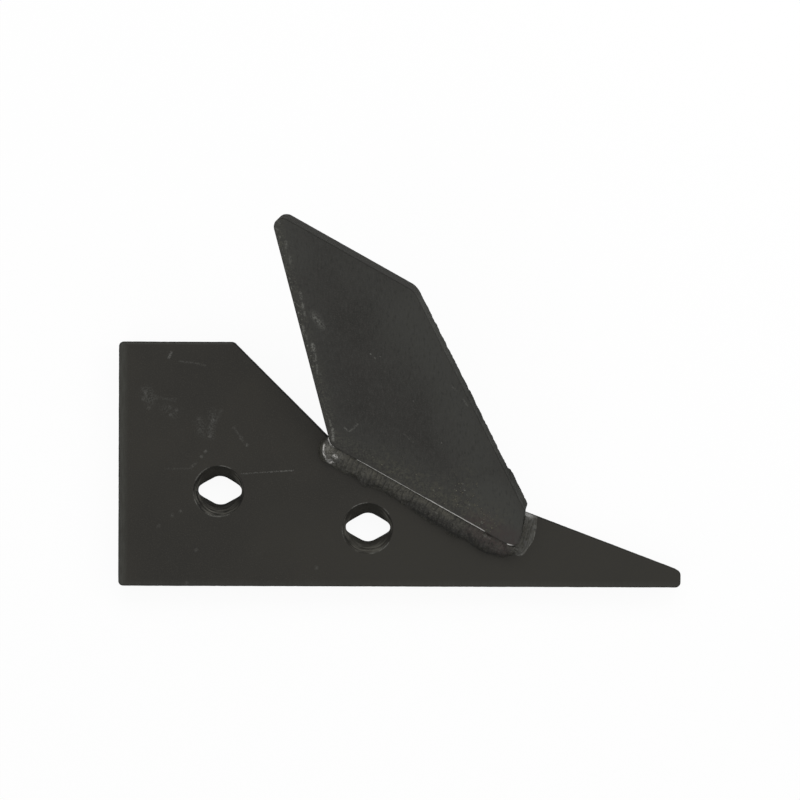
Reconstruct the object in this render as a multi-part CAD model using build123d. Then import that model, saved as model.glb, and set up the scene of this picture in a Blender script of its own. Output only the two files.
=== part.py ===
from build123d import *
from math import atan2, cos, degrees, radians, sin, tan
import os

# Landside point of a plough: a nosed base plate, a leaning fin and the weld runs that join them.
#
# Millimetres. The part lies on its seating face. X runs along the sole edge towards the nose,
# Y runs up from the sole, Z runs out of the wearing face. While it is modelled, X = 0 is the heel
# edge and Y = 0 the sole edge; at the end the origin moves to the middle of the two bolt holes.

# Base plate: flat bar, cut to a long nose
plate_thickness = 10.0
plate_length = 290.0
plate_height = 126.0
top_flat = 59.0            # level top edge, from the heel to the slant
waist_x = 108.0            # inner corner between the slant and the long slope
waist_y = 77.3
nose_height = 8.5
heel_radius = 2.6
slant_radius = 1.5
waist_radius = 2.0
nose_radius = 2.8
edge_bevel = 0.6           # arris taken off round both faces of the plate

# Bolt holes: countersunk from the wearing face, with a slot each side for the nibs
heel_hole_x = 51.8
heel_hole_y = 49.0
bolt_pitch = 79.1
bolt_line_angle = -13.8    # degrees, from the sole edge
head_radius = 12.75
head_recess = 1.5          # straight wall at the mouth
countersink_angle = 90.0
neck_radius = 7.45
nib_reach = 11.6           # from the hole's axis to the end of a nib slot
nib_side_angle = 28.6
nib_corner_radius = 1.2
mouth_bevel = 0.4          # arris taken off round the mouth

# Fin: flat blade standing on its foot edge and leaning out over the wearing face
fin_thickness = 8.0
fin_lean = 25.0            # degrees out of the plate's face
foot_angle = 29.2          # degrees, the foot edge falls towards the nose
foot_x = 111.0             # heel end of the foot edge
foot_y = 76.1
foot_length = 110.0
fin_height = 96.0
top_edge_length = 81.5     # runs back from a point square above the foot's heel end
toe_cut_height = 21.8      # cut-off corner over the nose end of the foot
toe_cut_setback = 7.7
tip_radius = 5.0
brow_radius = 10.0
toe_cut_radius = 1.5
foot_heel_radius = 4.0
foot_toe_radius = 4.5
fin_edge_radius = 0.6      # round the front face only, the back is sharp as cut

# Weld runs
face_weld_leg = 9.2        # on the plate, out from under the fin's front arris
weld_cover = 0.84          # share of the fin's thickness that a run covers
bead_lap = 2.5             # how far the bead's blank reaches in under the fin before it is trimmed
bead_sink = 1.0            # how far it starts below the plate's face, before it is trimmed
crown_rise = 1.5           # bulge of the face run above a straight fillet
start_lump_radius = 5.4
end_weld_leg = 7.3
end_weld_hollow = 1.1      # hollow of the end run below a straight fillet
end_bead_lap = 1.4
start_lump_out = 6.2       # from under the fin's foot to the middle of the lump
back_weld_leg_plate = 4.5  # down the plate's upper edge
back_weld_leg_fin = 7.0    # out under the fin
back_weld_bulge = 1.0
back_weld_start = 6.0      # clear of the waist
back_weld_short = 24.0     # along the plate's long slope, short of the fin's toe
# How far the face run's toe wanders, from its start to its end
face_weld_swells = (-2.6, 0.4, 1.3, -1.4, -0.3, 0.5, 0.8, 0.6, -0.9)
# The end run from the plate's slope to its tail: share of the toe cut, of its turn, leg and fullness
end_weld_stations = (
    (0.85, 1.00, 0.98, 0.70),
    (0.55, 1.00, 1.03, 0.90),
    (0.30, 1.00, 1.00, 0.95),
    (0.10, 0.60, 0.92, 0.90),
    (0.02, 0.25, 0.80, 0.80),
)
back_weld_sizes = (0.65, 1.05, 0.95, 0.7)

# Worked out from the values above
heel_hole = Vector(heel_hole_x, heel_hole_y, 0)
bolt_step = Vector(bolt_pitch, 0, 0).rotate(Axis.Z, bolt_line_angle)
nose_hole = heel_hole + bolt_step
part_origin = heel_hole + bolt_step / 2
up = Vector(0, 0, 1)
along_foot = Vector(1, 0, 0).rotate(Axis.Z, -foot_angle)
out_from_foot = Vector(0, -1, 0).rotate(Axis.Z, -foot_angle)
foot_start = Vector(foot_x, foot_y, plate_thickness)
fin_normal = out_from_foot * sin(radians(fin_lean)) + up * cos(radians(fin_lean))
fin_plane = Plane(origin=foot_start, x_dir=along_foot, z_dir=fin_normal)
slope_along = Vector(plate_length - waist_x, nose_height - waist_y, 0).normalized()
slope_out = up.cross(slope_along)
waist = Vector(waist_x, waist_y, plate_thickness)
back_weld_stop = (foot_start + along_foot * foot_length - waist).dot(slope_along) - back_weld_short
toe_cut_turn = 90 + degrees(atan2(toe_cut_setback, toe_cut_height * cos(radians(fin_lean))))
far = plate_length         # longer than anything that a trimming body has to pass


def rounded(profile, corners):
    """Rounds the profile's corner nearest to each given point."""
    for x, y, radius in corners:
        corner = profile.vertices().sort_by_distance((x, y, 0))[0]
        profile = fillet(corner, radius)
    return profile


def nib_hole_profile():
    """Opening of a two-nib bolt neck: a lozenge drawn round the neck, cut off at the nibs."""
    half_long = neck_radius / sin(radians(nib_side_angle))
    half_short = neck_radius / cos(radians(nib_side_angle))
    lozenge = Polygon(
        (half_long, 0), (0, half_short), (-half_long, 0), (0, -half_short), align=None
    )
    lozenge = rounded(lozenge, [(0, half_short, neck_radius), (0, -half_short, neck_radius)])
    opening = lozenge & Circle(nib_reach)
    ends = opening.vertices().filter_by(lambda v: abs(v.X) > neck_radius)
    return fillet(ends, nib_corner_radius)


def bolt_hole_cutter():
    """Head recess, countersink and nib slots; its axis is Z and its mouth lies at Z = 0."""
    cone_depth = (head_radius - neck_radius) / tan(radians(countersink_angle / 2))
    mouth = Pos(0, 0, -head_recess / 2) * Cylinder(head_radius, head_recess)
    cone = Pos(0, 0, -head_recess - cone_depth / 2) * Cone(neck_radius, head_radius, cone_depth)
    neck = extrude(nib_hole_profile(), -plate_thickness)
    return mouth + cone + neck


def plate_outline():
    """The plate seen on its wearing face."""
    outline = Polygon(
        (0, 0),
        (plate_length, 0),
        (plate_length, nose_height),
        (waist_x, waist_y),
        (top_flat, plate_height),
        (0, plate_height),
        align=None,
    )
    return rounded(outline, [
        (0, 0, heel_radius),
        (plate_length, 0, nose_radius),
        (plate_length, nose_height, nose_radius),
        (waist_x, waist_y, waist_radius),
        (top_flat, plate_height, slant_radius),
        (0, plate_height, heel_radius),
    ])


def base_plate_body():
    """Flat plate with its two bolt holes."""
    plate = extrude(plate_outline(), plate_thickness)
    rims = plate.faces().filter_by(Axis.Z).edges()
    plate = chamfer(rims, edge_bevel)
    for hole in (heel_hole, nose_hole):
        plate -= Pos(hole.X, hole.Y, plate_thickness) * bolt_hole_cutter()
    wearing_face = plate.faces().filter_by(Axis.Z).sort_by(Axis.Z)[-1]
    mouths = [edge for wire in wearing_face.inner_wires() for edge in wire.edges()]
    return chamfer(mouths, mouth_bevel)


def fin_blank():
    """The blade's flat outline, with the foot edge on the local X axis."""
    blank = Polygon(
        (0, 0),
        (foot_length, 0),
        (foot_length - toe_cut_setback, toe_cut_height),
        (0, fin_height),
        (-top_edge_length, fin_height),
        align=None,
    )
    return rounded(blank, [
        (0, 0, foot_heel_radius),
        (foot_length, 0, foot_toe_radius),
        (foot_length - toe_cut_setback, toe_cut_height, toe_cut_radius),
        (0, fin_height, brow_radius),
        (-top_edge_length, fin_height, tip_radius),
    ])


def fin_body():
    """The blade, its back lower arris resting on the plate's face."""
    blade = extrude(fin_blank(), fin_thickness)
    front_rim = blade.faces().sort_by(Axis.Z)[-1].edges()
    return fin_plane * fillet(front_rim, fin_edge_radius)


def fin_column():
    """The blade's outline, carried on in front of its face and behind its back."""
    return fin_plane * extrude(fin_blank(), far, both=True)


def above_plate():
    """Everything straight over the plate's wearing face."""
    return Pos(0, 0, plate_thickness) * extrude(plate_outline(), far)


def on_plate(along, out, height=0.0):
    """A point given along the fin's foot edge, out from it over the plate, and above the plate."""
    return foot_start + along_foot * along + out_from_foot * out + up * height


def bead_section(root, toe, crown, top, top_root):
    """Closed section of a bead: curved from its toe over the crown to its top, straight elsewhere."""
    return Wire([
        Line(root, toe),
        ThreePointArc(toe, crown, top),
        Line(top, top_root),
        Line(top_root, root),
    ])


def face_section(along, swell):
    """Section of the face run, square to the foot edge; swell moves its toe out or in."""
    reach = fin_thickness * weld_cover
    out = reach * sin(radians(fin_lean))
    height = reach * cos(radians(fin_lean))
    toe_out = fin_thickness * sin(radians(fin_lean)) + face_weld_leg + swell
    return bead_section(
        on_plate(along, -bead_lap),
        on_plate(along, toe_out),
        on_plate(along, (toe_out + out) / 2 + crown_rise / 2, height / 2 + crown_rise),
        on_plate(along, out, height),
        on_plate(along, out - bead_lap, height),
    )


def face_run():
    """Weld run in front of the fin's foot, uneven at its toe, with a lump where it was started."""
    last = foot_length - foot_toe_radius
    step = last / (len(face_weld_swells) - 1)
    sections = [face_section(i * step, swell) for i, swell in enumerate(face_weld_swells)]
    bead = Part() + Solid.make_loft(sections)
    lump = Pos(*on_plate(start_lump_radius / 2, start_lump_out)) * Sphere(start_lump_radius)
    tail = Pos(*on_plate(last, fin_thickness / 2)) * Sphere(fin_thickness * weld_cover)
    return ((bead + lump + tail) & above_plate()) - fin_column()


def end_section(up_edge, turn, leg, fullness):
    """Section of the end run at a place on the fin's toe cut; turn is its heading from the foot's."""
    heading = out_from_foot.rotate(Axis.Z, turn)
    setback = toe_cut_setback * up_edge / toe_cut_height
    edge = on_plate(foot_length - setback, -up_edge * cos(radians(fin_lean)))
    height = up_edge * sin(radians(fin_lean)) + fin_thickness * weld_cover * fullness
    toe = edge + heading * leg
    top = edge + up * height
    hollow = (up * leg + heading * height).normalized() * end_weld_hollow
    back = heading * end_bead_lap
    root = edge - back - up * bead_sink
    return bead_section(root, toe, (toe + top) / 2 - hollow, top, top - back)


def end_run(first_run):
    """Hollow run round the fin's toe, up to the plate's long slope, laid over the face run's end."""
    sections = [
        end_section(toe_cut_height * share, toe_cut_turn * turn, end_weld_leg * leg, fullness)
        for share, turn, leg, fullness in end_weld_stations
    ]
    bead = Part() + Solid.make_loft(sections)
    return (bead & above_plate()) - fin_column() - first_run


def back_section(along, size):
    """Section of the back run, square to the plate's long slope."""
    def place(out, height):
        return waist + slope_along * along + slope_out * out + up * height

    def under_fin(out):
        spot = place(out, 0)
        return place(out, -(spot - foot_start).dot(out_from_foot) * tan(radians(fin_lean)))

    toe = place(0, -back_weld_leg_plate * size)
    top = under_fin(back_weld_leg_fin * size)
    bulge = (slope_out - up).normalized() * back_weld_bulge * size
    crown = (toe + top) / 2 + bulge
    inner = place(-bead_lap, -back_weld_leg_plate * size)
    return bead_section(inner, toe, crown, top, under_fin(-bead_lap))


def back_run(plate):
    """Run behind the fin, from the plate's upper edge out to the fin's back face."""
    step = (back_weld_stop - back_weld_start) / (len(back_weld_sizes) - 1)
    sections = [
        back_section(back_weld_start + i * step, size) for i, size in enumerate(back_weld_sizes)
    ]
    return Part() + Solid.make_loft(sections) - plate


def main():
    os.makedirs("parts", exist_ok=True)
    plate = base_plate_body()
    face_weld = face_run()
    pieces = {
        "base_plate": plate,
        "fin": fin_body(),
        "face_weld": face_weld,
        "end_weld": end_run(face_weld),
        "back_weld": back_run(plate),
    }
    for name, piece in pieces.items():
        export_step(Pos(*(-part_origin)) * piece, f"parts/{name}.step")
        print(name, "volume", round(piece.volume), "solids", len(piece.solids()))


main()
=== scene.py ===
# %% [markdown]
# A landside point for a plough
#
# A landside point runs along the furrow wall. This one is a flat plate with a long nose, two
# countersunk holes for plough bolts, and a fin that leans out of the plate's face on a run of
# weld. The lesson dresses its solid model: cut steel with worn arrises, rippled weld metal,
# spatter and scuffed satin paint. First the solid model comes in as a fixed frame. Nothing of
# it is moved, so every piece made below goes straight to its place, in metres.

# %% Load the frame
from math import acos, atan2, ceil, cos, degrees, hypot, pi, radians, sin, tan

import bmesh
import bpy
import numpy as np
from mathutils import Matrix, Vector, kdtree, noise
from mathutils.geometry import delaunay_2d_cdt


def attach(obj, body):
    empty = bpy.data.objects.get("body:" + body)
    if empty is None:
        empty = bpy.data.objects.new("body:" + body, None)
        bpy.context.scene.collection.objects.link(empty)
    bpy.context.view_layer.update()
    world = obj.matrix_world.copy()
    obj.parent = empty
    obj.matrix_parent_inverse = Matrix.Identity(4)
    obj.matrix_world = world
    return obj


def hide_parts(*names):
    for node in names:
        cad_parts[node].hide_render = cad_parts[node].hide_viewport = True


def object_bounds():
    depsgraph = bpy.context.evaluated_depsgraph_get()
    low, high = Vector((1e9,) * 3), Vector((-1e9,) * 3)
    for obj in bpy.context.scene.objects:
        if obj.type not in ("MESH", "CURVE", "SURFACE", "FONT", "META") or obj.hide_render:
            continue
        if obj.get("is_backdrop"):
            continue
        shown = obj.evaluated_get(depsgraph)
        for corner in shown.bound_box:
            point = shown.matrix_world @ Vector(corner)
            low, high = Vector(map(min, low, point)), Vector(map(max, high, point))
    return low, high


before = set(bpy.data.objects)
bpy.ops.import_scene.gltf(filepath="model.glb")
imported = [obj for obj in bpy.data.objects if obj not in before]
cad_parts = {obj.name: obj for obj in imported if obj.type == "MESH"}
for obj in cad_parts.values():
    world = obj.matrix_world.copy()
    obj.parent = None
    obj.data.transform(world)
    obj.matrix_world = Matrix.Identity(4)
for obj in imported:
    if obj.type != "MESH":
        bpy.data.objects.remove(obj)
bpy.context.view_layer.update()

MM = 0.001

# %% [markdown]
# The camera
#
# The picture was taken from straight above, so the camera hangs over the part and looks down.
# A camera's place follows from a size in the picture: the further off it is, the less the fin
# gains on the plate by standing nearer to the lens. A long lens with a plain sensor gives it.

# %% Camera
camera = bpy.data.objects.new("camera", bpy.data.cameras.new("camera"))
bpy.context.scene.collection.objects.link(camera)
camera.location = (0.05484, 0.05668, 0.834)
camera.rotation_euler = (0, 0, radians(0.19))
camera.data.sensor_width = 36
camera.data.lens = 72
camera.data.clip_end = 20
bpy.context.scene.camera = camera
print("camera", tuple(round(v, 4) for v in camera.location), "lens", camera.data.lens)

# %% [markdown]
# Light, floor and backdrop
#
# Dark satin paint shows little of its own colour and much of the light round it, so big soft
# lamps matter more than strong ones. The floor is white card. Its shader tells rays from the
# camera apart with a Light Path node: they see nearly pure white, with a trace of the shadow
# left in, and the lamps need no extra strength for that.

# %% A writer of nodes
class Nodes:
    """Empties a node tree and writes nodes into it."""

    def __init__(self, tree):
        self.tree = tree
        tree.nodes.clear()

    def put(self, kind, inputs=None, out=0, **settings):
        """Adds one node, fills or links its inputs, and returns one of its outputs, if it has any."""
        made = self.tree.nodes.new(kind)
        for name, value in settings.items():
            setattr(made, name, value)
        for key, value in (inputs or {}).items():
            socket = made.inputs[key]
            if isinstance(value, bpy.types.NodeSocket):
                self.tree.links.new(value, socket)
            else:
                socket.default_value = value
        return made.outputs[out] if len(made.outputs) else made

    def every(self, kind, inputs=None):
        """Adds one node and returns all its outputs."""
        return self.put(kind, inputs).node.outputs

    def maths(self, operation, *values, clamp=False):
        """One Math node."""
        return self.put("ShaderNodeMath", dict(enumerate(values)), operation=operation, use_clamp=clamp)

    def times(self, product, *others):
        """The product of several numbers."""
        for value in others:
            product = self.maths("MULTIPLY", product, value)
        return product

    def vectors(self, operation, *values, out=0, **named):
        """One Vector Math node."""
        inputs = {**dict(enumerate(values)), **named}
        return self.put("ShaderNodeVectorMath", inputs, out=out, operation=operation)

    def eased(self, value, low, high):
        """A number eased from 0 at low to 1 at high. Low may be the larger."""
        inputs = {"Value": value, "From Min": low, "From Max": high}
        return self.put("ShaderNodeMapRange", inputs, interpolation_type="SMOOTHSTEP")

    def noise(self, place, size, detail, out=0):
        """Noise of 0 to 1 with patches of about that size."""
        inputs = {"Vector": place, "Scale": 1 / size, "Detail": detail}
        return self.put("ShaderNodeTexNoise", inputs, out=out)

    def end(self, value):
        """Links the last value to a node group's output and returns the group."""
        self.put("NodeGroupOutput", {0: value})
        return self.tree


def node_group(name, kind, inputs, output):
    """A node group whose inputs have a name, a kind of socket and a first value."""
    made = Nodes(bpy.data.node_groups.new(name, kind))
    face = made.tree.interface
    for label, socket, value in inputs:
        port = face.new_socket(label, in_out="INPUT", socket_type="NodeSocket" + socket)
        if value is not None:
            port.default_value = value
    label, socket = output
    face.new_socket(label, in_out="OUTPUT", socket_type="NodeSocket" + socket)
    return made, made.every("NodeGroupInput")


# %% Lamps
def softbox(name, place, target, size, power):
    """A square area lamp that looks at a target, all in metres."""
    lamp = bpy.data.objects.new(name, bpy.data.lights.new(name, "AREA"))
    bpy.context.scene.collection.objects.link(lamp)
    lamp.data.shape = "RECTANGLE"
    lamp.data.size, lamp.data.size_y = size
    lamp.data.energy = power
    lamp.location = place
    aim = Vector(target) - Vector(place)
    lamp.rotation_euler = aim.to_track_quat("-Z", "Y").to_euler()
    print(name, "watts", power)


MIDDLE = (0.05, 0.05, 0.01)
softbox("top_edge_box", (0.10, 1.25, 0.95), MIDDLE, (1.4, 0.7), 12)
softbox("nose_side_box", (1.25, 0.35, 0.70), MIDDLE, (0.8, 0.7), 6.7)
softbox("sole_side_box", (-0.75, -0.75, 0.60), MIDDLE, (0.8, 0.6), 2.2)


# %% Room and floor
def direct_rays(tree):
    """1 for rays that see a thing: from the camera, off gloss or through glass. 0 for the others."""
    rays = tree.every("ShaderNodeLightPath")
    seen = tree.maths("MAXIMUM", rays["Is Camera Ray"], rays["Is Glossy Ray"])
    return tree.maths("MAXIMUM", seen, rays["Is Transmission Ray"])


def white_card():
    """White card that the camera sees as nearly pure white, with a little of the shadow kept."""
    card = bpy.data.materials.new("white_card")
    card.use_nodes = True
    tree = Nodes(card.node_tree)
    share = tree.times(direct_rays(tree), 0.93)
    lit = tree.put("ShaderNodeBsdfDiffuse", {"Color": (0.9, 0.9, 0.9, 1)})
    white = tree.put("ShaderNodeEmission", {"Color": (1, 1, 1, 1), "Strength": 1.0})
    both = tree.put("ShaderNodeMixShader", {0: share, 1: lit, 2: white})
    tree.put("ShaderNodeOutputMaterial", {"Surface": both})
    return card


world = bpy.data.worlds.new("studio")
world.use_nodes = True
sky = Nodes(world.node_tree)
as_light, as_seen = 0.5, 1.0
seen = sky.put("ShaderNodeMix", {"Factor": direct_rays(sky), 2: as_light, 3: as_seen}, data_type="FLOAT")
room = sky.put("ShaderNodeBackground", {"Color": (1, 1, 1, 1), "Strength": seen})
sky.put("ShaderNodeOutputWorld", {"Surface": room})
scene = bpy.context.scene
scene.world = world
scene.view_settings.view_transform = "Standard"

bpy.ops.mesh.primitive_plane_add(size=6, location=(0.05, 0.05, -0.0005))
floor = bpy.context.object
floor.name = "floor"
floor.data.materials.append(white_card())
floor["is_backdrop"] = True
print("floor, metres:", tuple(round(v, 2) for v in floor.dimensions))

# %% [markdown]
# Cut steel
#
# The plate and the fin are both cut from flat bar. One builder makes both: it walks round the
# outline, lays a ring of points at each depth of the thickness, and fills the two faces with a
# fine triangle mesh. A box with a bevel would be quicker, but rings can be pushed in and out,
# so a sheared edge gets its torn wall and its burr, and the faces can sag a little.

# %% Outline helpers, all in millimetres
def rounded_outline(corners, step):
    """Points at about one step along an anticlockwise polygon with corners (x, y, radius)."""
    bends = []
    for i, (x, y, radius) in enumerate(corners):
        here = Vector((x, y))
        back = (Vector(corners[i - 1][:2]) - here).normalized()
        ahead = (Vector(corners[(i + 1) % len(corners)][:2]) - here).normalized()
        half = acos(max(-1, min(1, back.dot(ahead)))) / 2
        centre = here + (back + ahead).normalized() * (radius / sin(half))
        first = here + back * (radius / tan(half)) - centre
        turn = (pi - 2 * half) * (1 if ahead.cross(back) > 0 else -1)
        bits = max(4, ceil(abs(turn) * radius / (step * 0.6)))
        for k in range(bits + 1):
            bends.append(centre + Matrix.Rotation(turn * k / bits, 2) @ first)
    path = []
    for i, p in enumerate(bends):
        q = bends[(i + 1) % len(bends)]
        bits = max(1, round((q - p).length / step))
        path += [p.lerp(q, k / bits) for k in range(bits)]
    return np.array([tuple(p) for p in path])


def outward(path):
    """Unit normals of an anticlockwise closed path."""
    along = np.roll(path, -1, axis=0) - np.roll(path, 1, axis=0)
    across = np.stack([along[:, 1], -along[:, 0]], axis=1)
    return across / np.linalg.norm(across, axis=1)[:, None]


def within(points, loop):
    """For each point, whether a closed loop goes round it."""
    x, y = points[:, 0], points[:, 1]
    found = np.zeros(len(points), bool)
    for (ax, ay), (bx, by) in zip(loop, np.roll(loop, 1, axis=0)):
        if ay != by:
            found ^= ((ay > y) != (by > y)) & (x < (bx - ax) * (y - ay) / (by - ay) + ax)
    return found


def on_metal(points, rim, holes):
    """For each point, whether it lies inside the rim and outside every hole."""
    return within(points, rim) & ~np.any([within(points, hole) for hole in holes], axis=0)


def ease(low, high, value):
    """0 at low, 1 at high, smooth between them. Low may be the larger."""
    t = min(1, max(0, (value - low) / (high - low)))
    return t * t * (3 - 2 * t)


def patchy(x, y, z=0.0, size=1.0, octaves=3):
    """Noise from about -1 to 1 whose patches are about one size across."""
    return noise.fractal(Vector((x / size, y / size, z / size + 7.3)), 1.0, 2.0, octaves)


# %% Filling a flat face
def fill_face(rim, holes, spacing, rows):
    """Fills a face between its rim and its holes. Rows are the depths of extra points behind the rim."""
    loops = [rim] + holes
    edges, start = [], 0
    for loop in loops:
        edges += [(start + i, start + (i + 1) % len(loop)) for i in range(len(loop))]
        start += len(loop)
    border = np.vstack(loops)
    near = kdtree.KDTree(len(border))
    for i, (x, y) in enumerate(border):
        near.insert((x, y, 0), i)
    near.balance()
    inner = []
    normals = outward(rim)
    for depth in rows:
        for x, y in rim - normals * depth:
            if near.find((x, y, 0))[2] > 0.97 * depth:
                inner.append((x, y))
    low, high = rim.min(axis=0), rim.max(axis=0)
    clear = (rows[-1] if rows else 0) + 0.6 * spacing
    for row, y in enumerate(np.arange(low[1], high[1], 0.87 * spacing)):
        for x in np.arange(low[0] + (row % 2) * spacing / 2, high[0], spacing):
            if near.find((x, y, 0))[2] > clear:
                inner.append((x, y))
    inner = np.array(inner)
    points = np.vstack([border, inner[on_metal(inner, rim, holes)]])
    verts, _, faces, *_ = delaunay_2d_cdt([Vector(p) for p in points], edges, [], 0, 1e-6)
    verts = np.array([tuple(v) for v in verts])
    faces = np.array([tuple(f) for f in faces])
    return verts, faces[on_metal(verts[faces].mean(axis=1), rim, holes)]


# %% The cut-steel builder
def cut_steel(name, rim, thickness, front_arris, back_arris, spacing, rows=(), holes=(), push=None, sag=None):
    """A flat piece in its own plane: rings down its wall, holes as stacks of loops, two filled faces."""
    normals = outward(rim)
    lip = 0.35
    depths = [(front_arris + lip, thickness)]
    depths += [
        (front_arris * (1 - sin(a)), thickness - front_arris * (1 - cos(a)))
        for a in np.linspace(0, pi / 2, 6)
    ]
    depths += [(0, z) for z in np.linspace(thickness - front_arris, back_arris, 12)[1:-1]]
    depths += [
        (back_arris * (1 - cos(a)), back_arris * (1 - sin(a))) for a in np.linspace(0, pi / 2, 4)
    ]
    depths += [(back_arris + lip, 0)]
    mesh = bmesh.new()

    def lift(x, y, z):
        drop = sag(x, y) * z / thickness if sag else 0
        return mesh.verts.new((x, y, z + drop))

    def skin(stack):
        for upper, lower in zip(stack, stack[1:]):
            for i in range(len(upper)):
                j = (i + 1) % len(upper)
                mesh.faces.new((upper[i], upper[j], lower[j], lower[i]))

    stack, flat = [], []
    for inset, z in depths:
        ring = rim - normals * inset
        if push:
            out = np.array([push(x, y, z) for x, y in ring])
            ring = ring + normals * out[:, None]
        flat.append(ring)
        stack.append([lift(x, y, z) for x, y in ring])
    skin(stack)
    for loops in holes:
        skin([[lift(*p) for p in loop] for loop in loops])
    for side, z in ((0, thickness), (-1, 0)):
        openings = [np.array(loops[side])[:, :2] for loops in holes]
        points, faces = fill_face(flat[side], openings, spacing, rows if z else ())
        made = [lift(x, y, z) for x, y in points]
        for face in faces:
            mesh.faces.new([made[i] for i in face])
    bmesh.ops.remove_doubles(mesh, verts=mesh.verts, dist=1e-4)
    bmesh.ops.recalc_face_normals(mesh, faces=mesh.faces)
    return finish_mesh(name, mesh)


# %% Objects and the numbers on their points
def finish_mesh(name, mesh):
    """Turns millimetres into metres and makes a smooth object of the mesh."""
    mesh.transform(Matrix.Scale(MM, 4))
    data = bpy.data.meshes.new(name)
    mesh.to_mesh(data)
    open_edges = sum(1 for e in mesh.edges if len(e.link_faces) != 2)
    mesh.free()
    data.shade_smooth()
    data.set_sharp_from_angle(angle=radians(38))
    print(name, "triangles", sum(len(f.vertices) - 2 for f in data.polygons), "open edges", open_edges)
    return new_object(name, data)


def new_object(name, data):
    """An object of the scene, at the origin."""
    piece = bpy.data.objects.new(name, data)
    bpy.context.scene.collection.objects.link(piece)
    return piece


def note(piece, label, values):
    """Writes one number on every point of a piece."""
    layer = piece.data.attributes.new(label, "FLOAT", "POINT")
    layer.data.foreach_set("value", np.array(values, np.float32))


def note_walls(piece):
    """Writes wall on every point of a piece that lies flat: 0 on its two faces, 1 on what stands up."""
    note(piece, "wall", [1 - ease(0.75, 0.97, abs(v.normal.z)) for v in piece.data.vertices])


# %% [markdown]
# The base plate
#
# Its holes take plough bolts: a round head sinks into a straight recess and a cone, and the neck
# below it is a lozenge, whose two nibs stop the bolt from turning. A hole like this could be
# cut with a Boolean modifier. Here it is a stack of loops instead: at each depth, the wall is
# the wider of the cone and the lozenge in every direction, which gives clean rims to polish.

# %% Sizes of the plate
PLATE_LONG, PLATE_HIGH, PLATE_THICK = 290, 126, 10.0
NOSE, WAIST = (PLATE_LONG, 8.5, 2.8), (108, 77.3, 2.0)
PLATE_CORNERS = (
    (0, 0, 2.6), (PLATE_LONG, 0, 2.8), NOSE, WAIST, (59, PLATE_HIGH, 1.5), (0, PLATE_HIGH, 2.6),
)
HOLE_CENTRES = ((51.8, 49.0), (128.6, 30.13))
HEAD_RADIUS, HEAD_RECESS, NECK_RADIUS, NIB_REACH = 12.75, 1.5, 7.45, 11.6
NIB_ANGLE = radians(28.6)
WORN_MOUTH = (
    (0.85, 0.0), (0.4, 0.0), (0.18, 0.07), (0.05, 0.22), (0.0, 0.45), (0.0, 1.0), (0.0, HEAD_RECESS),
)
NECK_DEPTHS = (7.4, 8.3, 9.3, PLATE_THICK - 0.2)
ROUND_STEPS, TOOL_GROOVE = 168, 0.018
(heel_x, heel_y), (nose_x, nose_y) = HOLE_CENTRES
part_origin = Vector(((heel_x + nose_x) / 2, (heel_y + nose_y) / 2, 0))
to_part = Matrix.Translation(-part_origin * MM)
print("origin from the plate's corner, mm:", tuple(round(v, 3) for v in part_origin))


# %% Plate
def lozenge_radius(a):
    """How far the neck's wall is from the bolt's axis in a direction."""
    a = abs(atan2(sin(a), abs(cos(a))))
    side = NECK_RADIUS / cos(min(0, a - (pi / 2 - NIB_ANGLE)))
    blend = 14
    return (side ** -blend + NIB_REACH ** -blend) ** (-1 / blend)


def bolt_hole(centre, seed):
    """Loops from the wearing face down to the back: worn mouth, turned cone, neck and eased rim."""
    loops = []
    cone_depth = HEAD_RADIUS - NECK_RADIUS
    levels = list(WORN_MOUTH)
    levels += [(-d, HEAD_RECESS + d) for d in np.linspace(0.25, cone_depth, 26)]
    levels += [(-cone_depth, d) for d in NECK_DEPTHS]
    for turn, (widen, depth) in enumerate(levels):
        loop = []
        on_cone = HEAD_RECESS < depth < HEAD_RECESS + cone_depth - 0.3
        groove = TOOL_GROOVE * (turn % 2) if on_cone else 0
        for k in range(ROUND_STEPS):
            a = 2 * pi * k / ROUND_STEPS
            r = max(HEAD_RADIUS + widen, lozenge_radius(a))
            if depth > HEAD_RECESS:
                r += groove + 0.06 * patchy(6 * cos(a) + seed, 6 * sin(a), depth, 2.0)
            loop.append((centre[0] + r * cos(a), centre[1] + r * sin(a), PLATE_THICK - depth))
        loops.append(loop)
    for widen in (0.1 / 9, 0.55 / 9):
        loops.append([
            (x + (x - centre[0]) * widen, y + (y - centre[1]) * widen, 0) for x, y, _ in loops[-1]
        ])
    return loops


def plate_push(x, y, z):
    """The plate's walls: dragged cutting marks, never proud of the true outline."""
    marks = patchy(x + 0.25 * z, y + 0.25 * z, 0.1 * z, 1.6)
    return -0.1 * abs(marks) - 0.07 * abs(patchy(x, y, 0, 24))


def plate_sag(x, y):
    """Hot-rolled bar is never quite flat, and its heel edge is rolled over a little."""
    roll = -0.32 * max(0, 1 - x / 2.8) ** 2
    return roll - 0.05 * abs(patchy(x, y, 0, 38)) - 0.012 * abs(patchy(x, y, 3, 4))


plate = cut_steel(
    "landside_plate", rounded_outline(PLATE_CORNERS, 1.1), PLATE_THICK, 0.7, 0.5, 2.6,
    rows=(0.8, 1.8), holes=[bolt_hole(c, 10 * i) for i, c in enumerate(HOLE_CENTRES)],
    push=plate_push, sag=plate_sag,
)
note_walls(plate)
plate.data.transform(to_part)

# %% [markdown]
# The fin
#
# The fin is a blade of 8 mm bar that stands on its foot edge and leans 25 degrees out over the
# wearing face. Its long back edge was sheared, not cut: the tool first pulls the face down with
# it, then the steel tears, so that wall is rough and its far rim has a burr that steps. It could
# be sculpted by hand; pushing the rings by noise does the same and can be repeated.

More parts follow.
